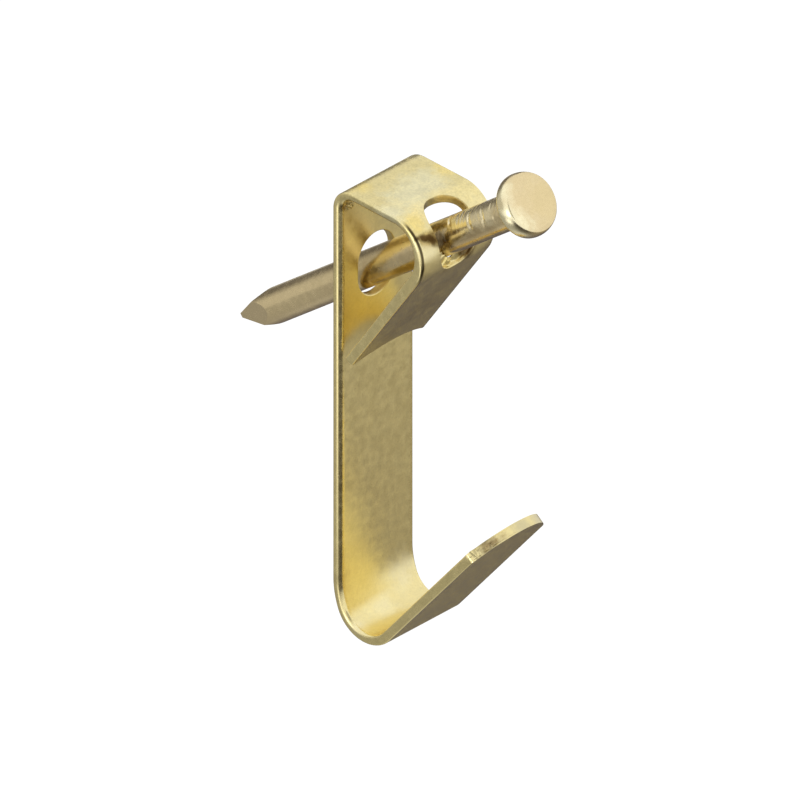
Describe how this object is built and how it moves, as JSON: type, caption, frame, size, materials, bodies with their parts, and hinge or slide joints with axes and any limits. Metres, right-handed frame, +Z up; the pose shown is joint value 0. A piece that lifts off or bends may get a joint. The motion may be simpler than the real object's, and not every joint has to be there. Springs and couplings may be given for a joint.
{
  "type": "picture hook",
  "caption": "Picture hook: a folded brass-coloured strip with a slanted nail through its top loop and an upturned lip that carries a picture's wire or hanger.",
  "frame": {"origin": "point where the nail's axis enters the wall, on the plane of the strip's back face", "axes": "+Z up along the plate, -Y out from the wall towards the lip, X across the strip"},
  "size_m": [0.0082, 0.0308, 0.043],
  "materials": {
    "strip_brass": "plain brass plating on sheet steel, dull with fine grain and some stain",
    "nail_brass": "plain brass plating on steel wire"
  },
  "bodies": {
    "root": {"hook_strip": "strip_brass", "nail": "nail_brass"}
  },
  "joints": []
}
